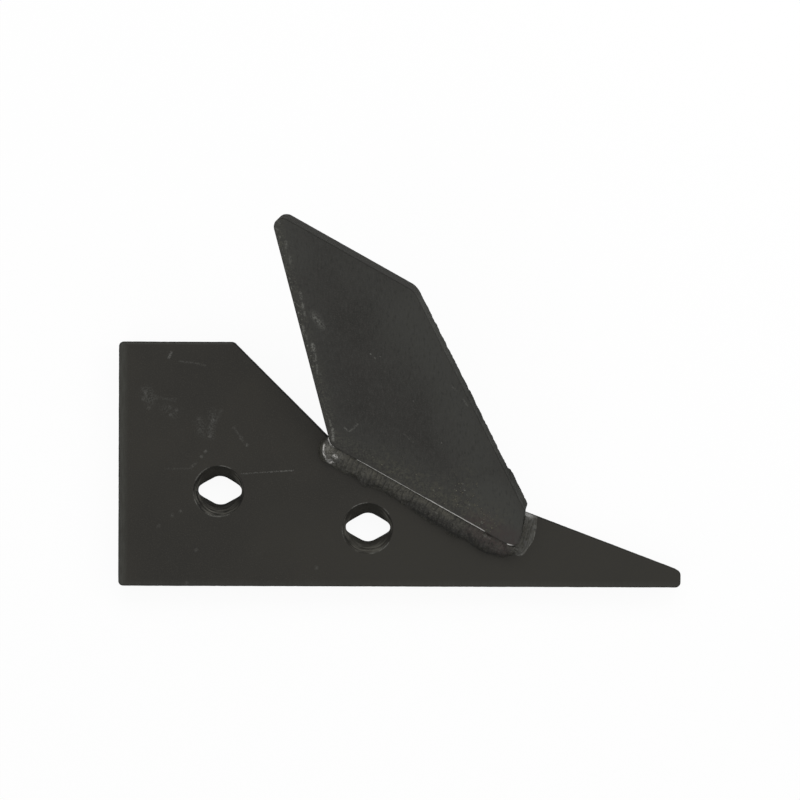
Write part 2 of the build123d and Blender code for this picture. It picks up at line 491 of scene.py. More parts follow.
# %% Sizes of the fin
FIN_THICK = 8.0
FIN_LEAN, FOOT_TURN = radians(25.0), radians(29.2)
FOOT_START = Vector((111.0, 76.1, PLATE_THICK))
FIN_CORNERS = ((0, 0, 4.0), (110, 0, 4.5), (102.3, 21.8, 1.5), (0, 96, 10), (-81.5, 96, 5))
along_foot = Vector((cos(FOOT_TURN), -sin(FOOT_TURN), 0))
out_from_foot = Vector((-sin(FOOT_TURN), -cos(FOOT_TURN), 0))
upward = Vector((0, 0, 1))
fin_normal = out_from_foot * sin(FIN_LEAN) + upward * cos(FIN_LEAN)
fin_up = fin_normal.cross(along_foot)
foot_frame = Matrix((along_foot, out_from_foot, upward)).transposed().to_4x4()
foot_frame.translation = FOOT_START * MM
fin_frame = Matrix((along_foot, fin_up, fin_normal)).transposed().to_4x4()
fin_frame.translation = FOOT_START * MM


def gap_to(line, x, y):
    """How far a point lies inside a directed edge of an anticlockwise outline."""
    (ax, ay), (bx, by) = line
    length = hypot(bx - ax, by - ay)
    return ((bx - ax) * (y - ay) - (by - ay) * (x - ax)) / length


spots = [corner[:2] for corner in FIN_CORNERS]
TOE_EDGE, TORN_EDGE, TOP_EDGE, HEEL_EDGE = zip(spots[1:], spots[2:] + spots[:1])
BURR_STEP_UP = 34.3
print("foot's start, mm:", tuple(round(v, 2) for v in FOOT_START - part_origin))


# %% Fin
def fin_push(x, y, z):
    """Rough wall on the torn edge, with the stepped burr on its back rim; light marks elsewhere."""
    torn = ease(1.6, 0.4, abs(gap_to(TORN_EDGE, x, y))) * ease(18, 23, y) * ease(97, 93, y)
    depth = 1 - z / FIN_THICK
    tear = 0.26 * patchy(x, y, 1.5 * z, 3.4) + 0.2 * patchy(x, y, 2 * z, 1.0)
    rough = torn * ease(0.08, 0.4, depth) * (tear - 0.08)
    step = ease(BURR_STEP_UP + 0.4, BURR_STEP_UP - 0.4, y) * ease(19, 24, y)
    burr = torn * ease(0.35, 0.95, depth) * (0.75 * step - 0.25 * ease(60, 36, y) * (1 - step))
    toe = ease(1.2, 0.3, abs(gap_to(TOE_EDGE, x, y))) * 0.25 * patchy(x, y, z, 3)
    return rough + burr + toe - 0.06 * abs(patchy(x, y, z, 2.2))


def fin_sag(x, y):
    """The sheared heel edge is rolled over; the rest has a slow twist and small pits."""
    roll = -0.42 * max(0, 1 - gap_to(HEEL_EDGE, x, y) / 4.2) ** 2
    edge = -0.12 * max(0, 1 - gap_to(TORN_EDGE, x, y) / 2.2) ** 2
    top = -0.12 * max(0, 1 - gap_to(TOP_EDGE, x, y) / 2.0) ** 2
    return roll + edge + top - 0.04 * abs(patchy(x, y, 5, 26)) - 0.02 * abs(patchy(x, y, 9, 3))


fin = cut_steel(
    "fin_blade", rounded_outline(FIN_CORNERS, 0.7), FIN_THICK, 0.6, 0.15, 2.0,
    rows=(0.7, 1.5, 2.4, 3.4), push=fin_push, sag=fin_sag,
)
note_walls(fin)
fin.data.transform(to_part @ fin_frame)

# %% [markdown]
# Weld metal as heaps
#
# A weld run is metal that froze as it was laid: fat where the hand was slow, and ending in a
# lump or a tail. On a flat plate its shape is a height above the plate for every place, so each
# run is built as a height map: a rule gives the height, and the mesh dips into the plate where
# the rule says nothing is there. A swept curve would be simpler, but it can't grow lumps.

# %% The heap builder
def heap(name, low, high, step, height):
    """A closed mesh of a height map over the foot's own plane: x along the foot, y out from it."""
    xs = np.arange(low[0], high[0] + step, step)
    ys = np.arange(low[1], high[1] + step, step)
    sunk, floor_level = -0.25, -0.45
    up = np.array([[height(x, y) for y in ys] for x in xs])
    cell = np.maximum.reduce([up[:-1, :-1], up[1:, :-1], up[:-1, 1:], up[1:, 1:]]) > 0
    mesh = bmesh.new()
    top, under = {}, {}

    def corner(store, i, j, z):
        if (i, j) not in store:
            store[i, j] = mesh.verts.new((xs[i], ys[j], z))
        return store[i, j]

    count = cell.shape
    for i in range(count[0]):
        for j in range(count[1]):
            if not cell[i, j]:
                continue
            ring = [(i, j), (i + 1, j), (i + 1, j + 1), (i, j + 1)]
            mesh.faces.new([corner(top, a, b, max(up[a, b], sunk)) for a, b in ring])
            mesh.faces.new([corner(under, a, b, floor_level) for a, b in reversed(ring)])
            for (a, b), (c, d), (ni, nj) in zip(
                ring, ring[1:] + ring[:1], ((i, j - 1), (i + 1, j), (i, j + 1), (i - 1, j))
            ):
                outside = not (0 <= ni < count[0] and 0 <= nj < count[1]) or not cell[ni, nj]
                if outside:
                    mesh.faces.new([
                        corner(top, c, d, max(up[c, d], sunk)), corner(top, a, b, max(up[a, b], sunk)),
                        corner(under, a, b, floor_level), corner(under, c, d, floor_level),
                    ])
    bmesh.ops.recalc_face_normals(mesh, faces=mesh.faces)
    return finish_mesh(name, mesh)


def soft_max(a, b, blend):
    """The larger of two heights, with a rounded valley where they meet."""
    t = max(blend - abs(a - b), 0) / blend
    return max(a, b) + t * t * blend / 4


# %% The face run
FOOT_SLOPE = 1 / tan(FIN_LEAN)
COVER = 0.84 * FIN_THICK
FACE_TOE = (
    (-6, 8.0), (0.3, 10.9), (4.4, 12.4), (13, 13.0), (19.1, 11.8), (25.7, 14.0), (29.9, 11.9),
    (39.5, 11.2), (47.1, 11.9), (54.2, 12.4), (62, 13.4), (70.7, 12.7), (76.2, 13.9), (84.8, 12.1),
    (91.4, 13.2), (98.5, 12.8), (105.6, 10.6), (110, 8.2), (113.3, 5.2), (116, 1.0),
)
LUMP_AT, LUMP_RADIUS, LUMP_RISE = (1.3, 5.9), 6.3, 6.4
KNOTS = (
    (18.5, 10.3, 2.6, 1.0), (31.0, 8.6, 2.4, 0.7), (64.0, 9.6, 3.4, 1.0), (76.5, 10.2, 3.6, 1.2),
    (93.0, 8.4, 5.2, 1.5),
)
SLOPE_TILT, SLOPE_START, SLOPE_GAP = 0.1495, 3.2, 0.42
OFF_THE_PLATE = -1


def plate_edge_gap(x, y):
    """How far a place on the foot's plane lies inside the plate's long slope."""
    return y + SLOPE_TILT * (x + SLOPE_START) - SLOPE_GAP


def face_height(x, y):
    """Height of the face run: level beside the fin, steep at its toe, with a lump at its start."""
    toe = np.interp(x, *zip(*FACE_TOE)) + 0.5 * patchy(x, 0, 2, 3.2)
    crest = COVER * cos(FIN_LEAN) * (1 + 0.05 * patchy(x, 4, 0, 5))
    crest_out = COVER * sin(FIN_LEAN)
    if y < crest_out:
        bead = min(crest, y * FOOT_SLOPE + 0.25)
    else:
        t = min(1.2, (y - crest_out) / max(toe - crest_out, 0.1))
        fat = 1.7 + 0.5 * ease(40, 80, x)
        bead = crest * (1 - t ** fat) if t < 1 else -3 * (t - 1) * 10
        bead += sin(pi * min(t, 1)) * (0.55 * patchy(x, y, 0, 5.5) + 0.3 * patchy(x, y, 6, 1.9))
        for knot_x, knot_y, size, rise in KNOTS:
            bead += rise * ease(1.0, 0.35, hypot(x - knot_x, y - knot_y) / size) * ease(1.0, 0.85, t)
    bead = bead * ease(-3.5, 1.5, x) - 3 * ease(1.0, -4, x)
    bead -= 8 * ease(108, 115, x + 0.25 * y)
    r = hypot(x - LUMP_AT[0], (y - LUMP_AT[1]) * 0.95) / LUMP_RADIUS
    lump = LUMP_RISE * (1 - r ** 2.6) if r < 1.3 else -5
    lump += 0.45 * patchy(x, y, 1, 2.6)
    if y < crest_out:
        lump = min(lump, y * FOOT_SLOPE + 0.25 if x > -1 else 6)
    return soft_max(bead, lump, 1.2) if plate_edge_gap(x, y) > 0.6 else OFF_THE_PLATE


face_bead = heap("face_bead", (-8, -0.4), (117, 16), 0.34, face_height)

# %% The end run
END_TOE = ((-17.5, 6.3), (-11, 7.2), (-4.9, 6.9), (1.0, 4.9), (4.0, 5.1), (6.2, 5.0), (8, 4.5))
TOE_X, TOE_SLANT, TOE_SQUARE, CORNER_ROUND = 109.4, 0.32, 0.932, 4.3


def off_toe(x, y, front):
    """Distance from the fin's toe, round its corner, whose front lies that far out from the foot."""
    side = (x - TOE_X - TOE_SLANT * y) * TOE_SQUARE
    return hypot(max(side + CORNER_ROUND, 0), max(y - front + CORNER_ROUND, 0)) - CORNER_ROUND


def end_height(x, y):
    """Height of the end run: hollow, highest on the fin's toe, with a pointed tail."""
    off = off_toe(x, y, COVER * sin(FIN_LEAN))
    width = np.interp(y, *zip(*END_TOE)) + 0.18 * patchy(x, y, 0, 3)
    fullness = np.interp(y, (-17, -8, 0, 4), (0.72, 0.95, 0.86, 0.8))
    rise = max(0, -0.466 * y) + COVER * fullness
    t = off / width
    shape = rise * (1 - t) ** 1.5 if 0 < t < 1 else (rise if t <= 0 else -4 * (t - 1))
    cover = (FIN_THICK - y * sin(FIN_LEAN)) / cos(FIN_LEAN) - 1.0
    if off < 0:
        shape = min(shape, cover)
    shape *= ease(7.2, 3.4, y)
    shape -= 10 * ease(6.0, 7.6, y) + 12 * ease(-0.8, -2.6, off)
    lip = plate_edge_gap(x, y)
    shape = shape * ease(-0.1, 1.5, lip) - 3 * ease(0.3, -0.2, lip)
    return shape + (0.12 * patchy(x, y, 0, 1.6) if shape > 0.3 else 0)


toe_bead = heap("toe_bead", (100, -18.5), (118, 9), 0.3, end_height)

# %% [markdown]
# Ripples on the runs
#
# Each pulse of the arc leaves a crescent in the metal, so a run looks like scales laid over each
# other. That is a rule along a path, which suits Geometry Nodes: the tree reads two numbers of
# every point, how far along the run it lies and how far across, and pushes it out along its
# normal. The crescents lag behind at the sides, because the middle of the pool stays hot.

# %% Helpers for Geometry Nodes
def geometry_tree(name, numbers):
    """A tree that takes a mesh, some named numbers and the material of its result."""
    numbers = [(label, "Int" if label == "Seed" else "Float", value) for label, value in numbers]
    inputs = [("Geometry", "Geometry", None), *numbers, ("Finish", "Material", None)]
    return node_group(name, "GeometryNodeTree", inputs, ("Geometry", "Geometry"))


def end_geometry(tree, made, finish):
    """Makes instances real, gives the result its material and ends the tree."""
    solid = tree.put("GeometryNodeRealizeInstances", {"Geometry": made})
    return tree.end(tree.put("GeometryNodeSetMaterial", {"Geometry": solid, "Material": finish}))


def read(tree, label):
    """A number that the mesh holds for every point."""
    return tree.put("GeometryNodeInputNamedAttribute", {"Name": label}, data_type="FLOAT")


def keep_result(piece, modifier):
    """Keeps what a modifier makes as the piece's own plain mesh."""
    bpy.context.view_layer.update()
    shown = piece.evaluated_get(bpy.context.evaluated_depsgraph_get())
    data = bpy.data.meshes.new_from_object(shown)
    print(piece.name, "points", len(data.vertices), "after", modifier.name)
    piece.modifiers.remove(modifier)
    data.name = piece.name
    piece.data = data


def run_through(piece, tree, values):
    """Runs a node tree on a piece and keeps the result."""
    step = piece.modifiers.new(tree.name, "NODES")
    step.node_group = tree
    for item in tree.interface.items_tree:
        if item.in_out == "INPUT" and item.name in values:
            step[item.identifier] = values[item.name]
    keep_result(piece, step)


# %% Ripple tree
def ripple_tree():
    """Pushes points out in crescents, by the attributes run and across, and notes the crescents."""
    tree, given = geometry_tree("weld_ripples", (
        ("Pitch", 2.2), ("Height", 0.2), ("Lag", 2.5), ("Grain", 0.1), ("Seed", 0),
    ))
    place = tree.put("GeometryNodeInputPosition")
    wander = tree.noise(place, 1 / 160, 2)
    across = read(tree, "across")
    lag = tree.times(across, across, given["Lag"])
    shifted = tree.maths("SUBTRACT", read(tree, "run"), lag)
    shifted = tree.maths("ADD", shifted, tree.times(wander, 2.4))
    turns = tree.maths("DIVIDE", tree.maths("ADD", shifted, given["Seed"]), given["Pitch"])
    scale = tree.maths("FRACT", turns)
    crescent = tree.maths("SUBTRACT", 1.0, tree.maths("POWER", scale, 1.6))
    rise = tree.maths("SMOOTH_MIN", tree.times(scale, 6.0), crescent, 0.3)
    grain = tree.noise(place, 1 / 900, 3)
    grain = tree.times(tree.maths("SUBTRACT", grain, 0.5), given["Grain"])
    lift = tree.maths("ADD", tree.times(rise, given["Height"]), grain)
    lift = tree.times(lift, read(tree, "shown"), MM)
    offset = tree.vectors("SCALE", tree.put("GeometryNodeInputNormal"), Scale=lift)
    noted = tree.put(
        "GeometryNodeStoreNamedAttribute",
        {"Geometry": given["Geometry"], "Name": "crescent", "Value": rise},
        data_type="FLOAT", domain="POINT",
    )
    moved = tree.put("GeometryNodeSetPosition", {"Geometry": noted, "Offset": offset})
    return end_geometry(tree, moved, given["Finish"])


def note_run(piece, measure):
    """Writes run, across and shown on every point; measure gives them from a place in millimetres."""
    values = [measure(v.co / MM, v.normal) for v in piece.data.vertices]
    for label, column in zip(("run", "across", "shown"), zip(*values)):
        note(piece, label, column)


ripples = ripple_tree()
print("ripple tree has", len(ripples.nodes), "nodes")

# %% [markdown]
# The run behind the fin
#
# Behind the fin a second run fills the corner between the plate's edge and the leaning blade.
# The solid model already has its form, so a copy of it is joined up, remeshed into small even
# squares and rippled like the others. Remeshing keeps the form and gives the ripples points.

# %% Back run
def copied_solid(name, node, voxel):
    """A closed, even mesh made from a solid of the frame."""
    mesh = bmesh.new()
    mesh.from_mesh(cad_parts[node].data)
    bmesh.ops.remove_doubles(mesh, verts=mesh.verts, dist=0.002 * MM)
    data = bpy.data.meshes.new(name)
    mesh.to_mesh(data)
    mesh.free()
    piece = new_object(name, data)
    even = piece.modifiers.new("even squares", "REMESH")
    even.mode, even.voxel_size, even.use_smooth_shade = "VOXEL", voxel, True
    keep_result(piece, even)
    return piece


back_bead = copied_solid("back_bead", "back_weld", 0.45 * MM)
slope = Vector((NOSE[0] - WAIST[0], NOSE[1] - WAIST[1], 0)).normalized()
slope_out = upward.cross(slope)
waist = Vector((*WAIST[:2], PLATE_THICK)) - part_origin


# %% How far along and across each run a point lies
def on_back(p, normal):
    """Along the plate's slope, across the run, and only on the face that shows."""
    away = (p - waist).dot(slope_out)
    bare = ease(0.1, 0.5, normal.dot((slope_out - upward * 0.6).normalized()))
    return (p - waist).dot(slope), 1.2 * (away - 3.5) / 3.5, bare * ease(0.2, 1.0, away)


def on_face(p, normal):
    """Along the fin's foot, across from its arris to the toe."""
    t = (p.y - 2.8) / 9.5
    return p.x, 1.4 * (t - 0.3), ease(0.15, 0.5, normal.z) * ease(-0.1, 0.1, t) * ease(-0.1, 0.5, p.z)


def on_end(p, normal):
    """Round the fin's toe; the scales run down towards the pointed tail."""
    round_toe = degrees(atan2(p.y + 6, p.x - 100)) * 0.22
    return round_toe - p.y * 0.7, off_toe(p.x, p.y, 2.7) / 6, ease(0.1, 0.4, normal.z) * ease(-0.1, 0.5, p.z)


# %% [markdown]
# Satin paint over steel
#
# The part is dipped or sprayed in a thin black paint, then handled, scraped and dusted. One
# material builder makes every finish from layers: a ground colour that drifts, fine grain,
# pale dust, drawn marks, painted shade and highlights, heat tint and bare metal. A mark is a
# stroke between two places: the distance from a point to the stroke gives its width, so it
# stays sharp at any size, and it needs no picture. Patterns read Object coordinates, turned
# into millimetres by a Mapping node.

# %% A stroke as a node group
def stroke_group():
    """1 on a straight stroke from From along Reach, fading to 0 at Width."""
    places = [(label, "Vector", None) for label in ("At", "From", "Reach")]
    numbers = [("Width", "Float", 0.5), ("Strength", "Float", 1.0)]
    tree, given = node_group("stroke", "ShaderNodeTree", places + numbers, ("Mask", "Float"))
    away = tree.vectors("SUBTRACT", given["At"], given["From"])
    along = tree.vectors("DOT_PRODUCT", away, given["Reach"], out=1)
    whole = tree.vectors("DOT_PRODUCT", given["Reach"], given["Reach"], out=1)
    share = tree.maths("DIVIDE", along, whole, clamp=True)
    foot = tree.vectors("SCALE", given["Reach"], Scale=share)
    gap = tree.vectors("LENGTH", tree.vectors("SUBTRACT", away, foot), out=1)
    return tree.end(tree.times(tree.eased(gap, given["Width"], 0.0), given["Strength"]))


stroke = stroke_group()
print("stroke group has", len(stroke.nodes), "nodes")


# %% The finish builder
NUDGE = Vector((0.01, 0, 0))    # so that a stroke of no length never divides by nothing


class Finish(Nodes):
    """A Principled material that is built up in layers. Places and sizes are in millimetres."""

    def __init__(self, name):
        self.material = bpy.data.materials.new(name)
        self.material.use_nodes = True
        super().__init__(self.material.node_tree)
        coords = self.put("ShaderNodeTexCoord", out=3)
        self.at = self.put("ShaderNodeMapping", {"Vector": coords, "Scale": (1 / MM,) * 3})
        self.wall = self.read("wall")
        self.colour = self.roughness = self.height = self.metal = None

    def read(self, label):
        """A number that the mesh holds for every point."""
        return self.put("ShaderNodeAttribute", out=2, attribute_name=label)

    def grain(self, size, detail=3.0, stretch=None):
        """Noise over the piece. A stretch over 1 squeezes its patches along that axis."""
        place = self.vectors("MULTIPLY", self.at, stretch) if stretch else self.at
        return self.noise(place, size, detail)

    def patches(self, size, detail, low, high, at=None):
        """Patches of noise: 0 where it is under low, 1 where it is over high."""
        return self.eased(self.noise(at or self.at, size, detail), low, high)

    def blend(self, share, a, b):
        """Mixes two colours."""
        inputs = {0: share}
        for key, value in ((6, a), (7, b)):
            inputs[key] = value if isinstance(value, bpy.types.NodeSocket) else (*value, 1)
        return self.put("ShaderNodeMix", inputs, out=2, data_type="RGBA")

    def layer(self, share, colour, roughness=None, metal=None):
        """Lays a finish over what is there, where share is 1."""
        self.colour = self.blend(share, self.colour, colour)
        if roughness is not None:
            self.roughness = self.put("ShaderNodeMix", {0: share, 2: self.roughness, 3: roughness})
        if metal is not None:
            self.metal = self.put("ShaderNodeMix", {0: share, 2: self.metal or 0.0, 3: metal})

    def near(self, strokes, at=None):
        """Share of some strokes, each with its start, end, width and strength."""
        total = None
        for start, end, width, strength in strokes:
            reach = Vector(end) - Vector(start) + NUDGE
            inputs = {
                "At": at or self.at, "From": start, "Reach": reach, "Width": width, "Strength": strength,
            }
            mask = self.put("ShaderNodeGroup", inputs, node_tree=stroke)
            total = mask if total is None else self.maths("MAXIMUM", total, mask)
        return total

    def mark(self, strokes, colour, roughness=None, metal=None, share=1.0, at=None, broken=None):
        """Lays a finish along strokes. Broken keeps only patches of them, as four numbers for patches."""
        mask = self.near(strokes, at)
        if broken:
            mask = self.times(mask, self.patches(*broken))
        self.layer(self.times(mask, share), colour, roughness, metal)

    def shaken(self, amount, size, at=None):
        """A place, moved about a little, for strokes with uneven edges."""
        place = at or self.at
        jitter = self.noise(place, size, 2, out=1)
        centred = self.vectors("SUBTRACT", jitter, (0.5,) * 3)
        return self.vectors("ADD", place, self.vectors("SCALE", centred, Scale=amount))

    def from_above(self):
        """The place as seen from above."""
        return self.vectors("MULTIPLY", self.at, (1, 1, 0))

    def turned_place(self, centre):
        """The place in two like holes, at a centre and its opposite, unrolled along the arcs of a tool."""
        x, y, _ = self.every("ShaderNodeSeparateXYZ", {0: self.at})
        side = self.maths("SIGN", x)
        away = [self.maths("SUBTRACT", v, self.times(side, c)) for v, c in zip((x, y), centre)]
        radius = self.maths("SQRT", self.maths("ADD", *(self.times(v, v) for v in away)))
        arc = self.times(self.maths("ARCTAN2", away[1], away[0]), 1.3)
        unrolled = {0: self.times(radius, 1.5), 1: arc, 2: self.times(side, 9.0)}
        return self.put("ShaderNodeCombineXYZ", unrolled), radius

    def ring(self, centres, radius, width):
        """1 on circles round upright axes, fading to 0 at a width."""
        total = None
        for x, y in centres:
            away = self.vectors("DISTANCE", self.from_above(), (x, y, 0), out=1)
            mask = self.eased(self.maths("ABSOLUTE", self.maths("SUBTRACT", away, radius)), width, 0)
            total = mask if total is None else self.maths("MAXIMUM", total, mask)
        return total

    def done(self, bump, gloss):
        """Connects the layers to the shader."""
        relief = {"Strength": bump, "Distance": MM, "Height": self.height}
        inputs = {
            "Base Color": self.colour, "Roughness": self.roughness, "Specular IOR Level": gloss,
            "Normal": self.put("ShaderNodeBump", relief),
        }
        if self.metal:
            inputs["Metallic"] = self.metal
        shader = self.put("ShaderNodeBsdfPrincipled", inputs)
        self.put("ShaderNodeOutputMaterial", {"Surface": shader})
        print(self.material.name, "has", len(self.tree.nodes), "nodes")
        return self.material


# %% The paint under all marks
def painted_ground(name, dark, light, drift, rim=3.6):
    """Black satin paint with grain, orange peel and dust; walls get painted shade, darkest along their
    arrises.
    """
    made = Finish(name)
    made.colour = made.blend(made.patches(drift, 4.0, 0.32, 0.68), dark, light)
    grain = made.grain(0.55, 2.0)
    made.colour = made.blend(made.eased(grain, 0.45, 0.85), made.colour, tuple(1.5 * c for c in light))
    made.roughness = made.maths("MULTIPLY_ADD", made.grain(9.0, 4.0), 0.16, 0.40)
    peel = made.times(made.grain(1.3, 2.0), 0.05)
    made.height = made.maths("ADD", peel, made.times(grain, 0.02))
    cut = made.times(made.wall, made.grain(0.7, 3.0))
    made.height = made.maths("MULTIPLY_ADD", cut, 0.7, made.height)
    dust = made.times(made.patches(14.0, 5.0, 0.55, 0.8), made.patches(0.8, 2.0, 0.5, 0.75), 0.16)
    made.layer(dust, (0.09, 0.09, 0.08), roughness=0.7)
    # Painted shade: the walls are painted darker than the faces, and darker still along the arrises where
    # walls meet faces.
    made.layer(made.times(made.wall, 0.92), (0.008, 0.008, 0.007), roughness=1.0)
    corner = made.times(made.wall, made.maths("SUBTRACT", 1.0, made.wall), rim)
    made.layer(corner, (0.004, 0.004, 0.0035), roughness=0.9)
    speckle = made.times(made.wall, made.patches(0.8, 2.0, 0.52, 0.72), 0.28)
    made.layer(speckle, (0.06, 0.06, 0.052))
    return made


DARK, LIGHT = (0.0160, 0.0150, 0.0125), (0.0205, 0.0190, 0.0155)
SCUFF = (0.15, 0.15, 0.14)
STEEL = (0.56, 0.55, 0.53)
# Dark for pits and for painted shadow lines.
SOOT_AND_SHADE = (0.004, 0.004, 0.003)

# %% [markdown]
# Marks on the plate
#
# The plate was slid against other parts. It has one long pale scratch beside the heel hole, a
# few short ones near the top, and chains of tiny knocks. They are listed by place, in
# millimetres from the middle of the two holes, on the wearing face. In the holes, the noise is
# unrolled round the bolt's axis, so its patches stretch into the streaks that a tool leaves.

# %% Plate finish
def on_plate(rows, z=PLATE_THICK):
    """Strokes at one height in the plate, from rows of x and y twice, a width and a strength."""
    return [((x, y, z), (u, v, z), width, strength) for x, y, u, v, width, strength in rows]


def knocks(places, width, strength):
    """Dots, as strokes of next to no length."""
    return on_plate([(x, y, x + 0.3, y + 0.2, width, strength) for x, y in places])


HOLES = [(x - part_origin.x, y - part_origin.y) for x, y in HOLE_CENTRES]
look = painted_ground("plate_paint", DARK, LIGHT, 46)
scratches = on_plate((
    (-26.8, 18.4, -9, 19.6, 0.55, 0.45), (-9, 19.6, 0, 20.2, 0.6, 0.75),
    (-64.3, 78.2, -63.1, 80.7, 1.1, 0.6), (-58.8, 76.3, -52, 75.6, 0.9, 0.22),
    (-52, 75.6, -45.5, 74.2, 0.9, 0.18), (-52.8, 21.2, -50, 24, 1.1, 0.32),
    (-66, 21, -53, 21, 0.8, 0.12), (-77.6, 62, -74.6, 56, 1, 0.2), (-73, 57, -60.4, 57, 1, 0.14),
    (-73, 59, -61, 55.5, 1, 0.1), (-29.6, 40.6, -24.6, 33.4, 0.9, 0.2),
    (-41.4, 47.5, -42.6, 38.6, 1.6, 0.16), (-37, 51, -40, 45, 1.6, 0.1),
))
dots = knocks((
    (-76, 60.2), (-41.6, 46), (-43.2, 37.6), (-45.4, 29.8), (-47.5, 27.2), (-24, 33.1),
), 1.2, 0.5)
dots += knocks((
    (-43.4, 42), (-48.9, 46.6), (-48.5, 41), (-30.6, 42), (-27, 36.6), (-63.8, 52.6), (-63.5, 48.4),
    (-77.5, 56.5), (-74.6, 52), (-60.5, 51), (-62.5, -3), (-58, -1), (-69.5, -8.8), (-55, -38),
    (12, -30), (-50, -21),
), 1.5, 0.22)
# Painted sheen: broad, slightly olive patches lighten the lower part of the face, like a soft reflection.
plate_sheen = on_plate(((50, -26, 190, -34, 46, 1), (-10, -8, 30, -14, 34, 0.5)))
look.mark(plate_sheen, (0.0225, 0.0212, 0.0172), share=0.8, at=look.shaken(14, 20))
look.mark(scratches + dots, SCUFF, 0.55, at=look.shaken(1, 0.9), broken=(0.6, 3, 0.34, 0.66))
print("scratches", len(scratches), "dots", len(dots))

# %% Rubbed places of the plate, and its edges with wear and painted highlights
rubbed = on_plate((
    (-75.5, 60, -74, 57, 6, 0.5), (-66, 52, -62, 49, 5, 0.3), (-48, 45, -47, 40, 5, 0.35),
    (-41.5, 50, -42.5, 38, 4, 0.4),
))
look.mark(rubbed, (0.06, 0.06, 0.055), broken=(0.7, 2, 0.46, 0.62))
heel, sole, top = -part_origin.x, -part_origin.y, PLATE_HIGH - part_origin.y
# The edges are lighter in streaks: partly worn paint, partly painted highlight where the rolled arrises catch
# the light.
edges = on_plate((
    (heel + 1.7, sole + 2, heel + 1.7, top - 2, 4, 0.34),
    (heel + 0.7, sole + 2, heel + 0.7, top - 2, 0.9, 0.5), (heel + 2, top - 1, -32, top - 1, 0.9, 0.3),
    (heel + 2, sole + 1, 196, sole + 1, 3.4, 0.13),
))
edge_wear_and_highlight = look.eased(look.grain(1, 3, (1.6, 0.12, 1)), 0.3, 0.7)
edge_wear_and_highlight = look.maths("MULTIPLY_ADD", edge_wear_and_highlight, 0.6, 0.4)
edge_wear_and_highlight = look.times(edge_wear_and_highlight, look.near(edges), 0.9)
look.layer(edge_wear_and_highlight, (0.082, 0.087, 0.077), 0.6)
print("rubbed places", len(rubbed), "edges", len(edges))

# %% Bolt holes of the plate
over, under = [], []
for x, y in HOLES:
    over += on_plate([(x - 5, y + 9.5, x + 5, y + 9.5, 9, 1)], 7)
    under += on_plate([(x - 4, y - 9.5, x + 5, y - 9.5, 8, 1)], 7)
    under += on_plate((
        (x - 10.5, y - 3, x - 10, y + 3, 6, 0.8), (x + 10.5, y + 1, x + 9, y + 7, 5, 0.9),
    ), 8)
shade = look.times(look.near(over), look.wall)
look.layer(shade, (0.022, 0.021, 0.017), 0.9)
# Painted highlight: the lower walls of the holes are painted lighter, in the streaks that the tool left.
unrolled, radius = look.turned_place(HOLES[1])
lit_tool_streaks = look.times(look.patches(1, 3, 0.32, 0.68, at=unrolled), look.eased(radius, 7.6, 12.4))
lit_tool_streaks = look.times(look.near(under), look.wall, lit_tool_streaks)
look.layer(lit_tool_streaks, (0.098, 0.094, 0.080), 0.6)
# The rims of the mouths are lighter in broken rings: partly worn paint, partly painted highlight.
rim_wear_and_highlight = look.times(look.patches(7, 3, 0.46, 0.62), look.patches(0.5, 2, 0.3, 0.6))
rim_wear_and_highlight = look.times(look.ring(HOLES, HEAD_RADIUS + 0.35, 0.45), rim_wear_and_highlight)
look.layer(rim_wear_and_highlight, (0.115, 0.115, 0.104), 0.45)
plate_material = look.done(0.6, 0.2)

# %% [markdown]
# Marks on the fin
#
# The fin is greyer and grainier than the plate, with dust and scrapes along its heel edge. Its
# lower arris is rubbed to bright steel for most of its length, and near the toe the heat of the
# last run has turned the paint brown. The list gives places along the foot and up the blade.

# %% Fin finish
def on_blade(u, v, z=FIN_THICK):
    """A place in the part's millimetres, from how far it is along the foot, up the fin and forward."""
    return FOOT_START + along_foot * u + fin_up * v + fin_normal * z - part_origin


def on_fin(rows, z=FIN_THICK):
    """Strokes on the fin, from rows of along and up twice, a width and a strength."""
    return [(on_blade(x, y, z), on_blade(u, v, z), width, strength) for x, y, u, v, width, strength in rows]


look = painted_ground("fin_paint", (0.0305, 0.0296, 0.0270), (0.0365, 0.0354, 0.0324), 24, rim=0.6)
# Painted sheen: broad soft patches over much of the blade are painted lighter, like the reflection of a big
# lamp.
fin_sheen = on_fin((
    (4, 88, 24, 72, 34, 1), (24, 72, 70, 34, 24, 0.9), (-78, 94, -62, 82, 26, 0.9),
    (84, 18, 106, 8, 26, 1.6), (-60, 78, -14, 22, 24, 0.4), (8, 12, 80, 12, 18, 0.5),
    (-60, 90, 0, 90, 20, 0.5),
))
look.mark(fin_sheen, (0.0520, 0.0522, 0.0475), share=0.8, at=look.shaken(12, 14))
print("pale places", len(fin_sheen))
brushed = look.grain(1, 4, (1, 0.35, 0.35))
for low, high, share, colour in (
    (0.5, 0.75, 0.34, (0.060, 0.060, 0.055)), (0.46, 0.3, 0.35, (0.022, 0.0215, 0.020)),
):
    look.layer(look.times(look.eased(brushed, low, high), share), colour)
# Painted light: the fin's top wall, which faces the light, is painted lighter than its other walls.
lit_top_wall = look.near(on_fin([(-80, 97, -3, 97, 9, 1)], 4))
lit_top_wall = look.maths("MULTIPLY", lit_top_wall, 1.6, clamp=True)
lit_top_wall = look.times(lit_top_wall, look.wall)
look.layer(lit_top_wall, (0.031, 0.0305, 0.028), 0.9)

